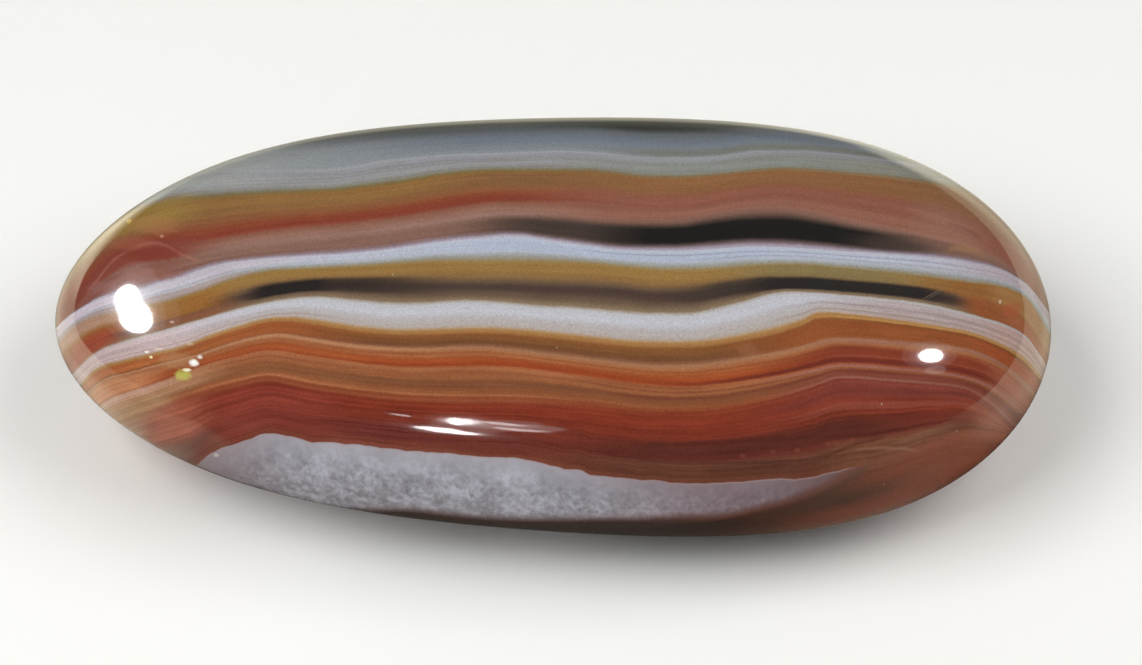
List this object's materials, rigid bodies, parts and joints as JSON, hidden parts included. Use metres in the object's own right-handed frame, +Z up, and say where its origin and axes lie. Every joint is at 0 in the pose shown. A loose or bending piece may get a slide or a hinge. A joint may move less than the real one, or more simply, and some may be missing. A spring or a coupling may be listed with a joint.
{
  "type": "agate palm stone",
  "caption": "Long, smooth, egg-ended polished agate pebble with wavy lengthwise bands, made to be held in the palm or laid on a surface.",
  "frame": {"origin": "bottom centre of the bounding box, on the surface that the stone lies on", "axes": "+X along the stone towards its fuller end; +Y away from the side that the picture shows; +Z up through its thickness"},
  "size_m": [0.076, 0.0348, 0.0225],
  "materials": {
    "polished_agate": "high polish; solid lengthwise bands of blue-grey, ochre, red, black, white and brick-brown chalcedony, with a patch of white granular quartz"
  },
  "bodies": {
    "root": {"agate_stone": "polished_agate"}
  },
  "joints": []
}
